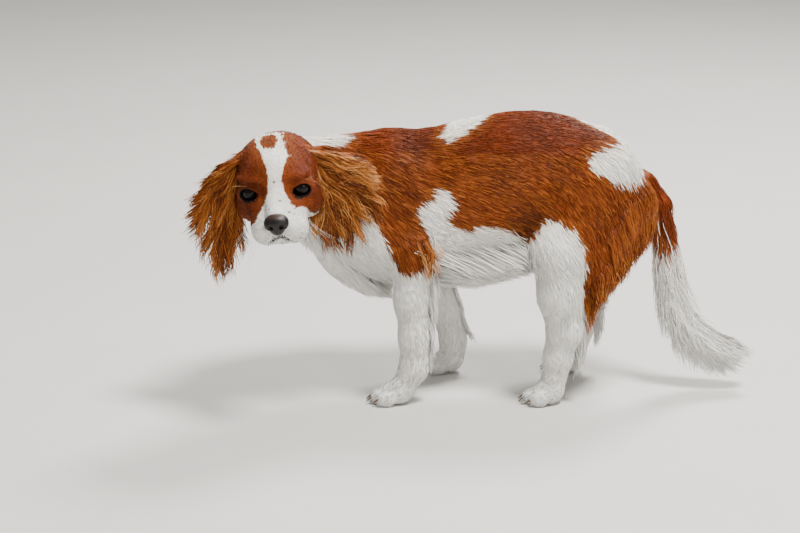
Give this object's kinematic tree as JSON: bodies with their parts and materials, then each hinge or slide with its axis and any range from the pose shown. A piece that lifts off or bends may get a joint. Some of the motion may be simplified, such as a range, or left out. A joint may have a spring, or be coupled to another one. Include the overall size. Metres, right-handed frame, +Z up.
{
  "type": "cavalier king charles spaniel",
  "caption": "Life-size standing chestnut and white spaniel model, seen side on, head lowered and turned to its left, long feathered ears and a hanging plumed tail.",
  "frame": {"origin": "on the floor, under the middle of the whole model's box", "axes": "+Z up; the dog's body faces -X, its left side and its face look towards -Y"},
  "size_m": [0.6209, 0.2756, 0.322],
  "materials": {
    "coat": "silky chestnut dog coat with white markings",
    "coat_white": "silky white dog coat",
    "nose_leather": "moist black pebbled nose leather",
    "eye_glass": "glossy dark brown eye"
  },
  "bodies": {
    "root": {"torso": "coat", "neck": "coat", "eye_left": "eye_glass", "left_foreleg": "coat_white", "left_hindleg": "coat_white", "eye_right": "eye_glass", "right_foreleg": "coat_white", "right_hindleg": "coat_white", "nose": "nose_leather", "head": "coat", "ear_left": "coat", "ear_right": "coat", "tail": "coat_white"}
  },
  "joints": []
}
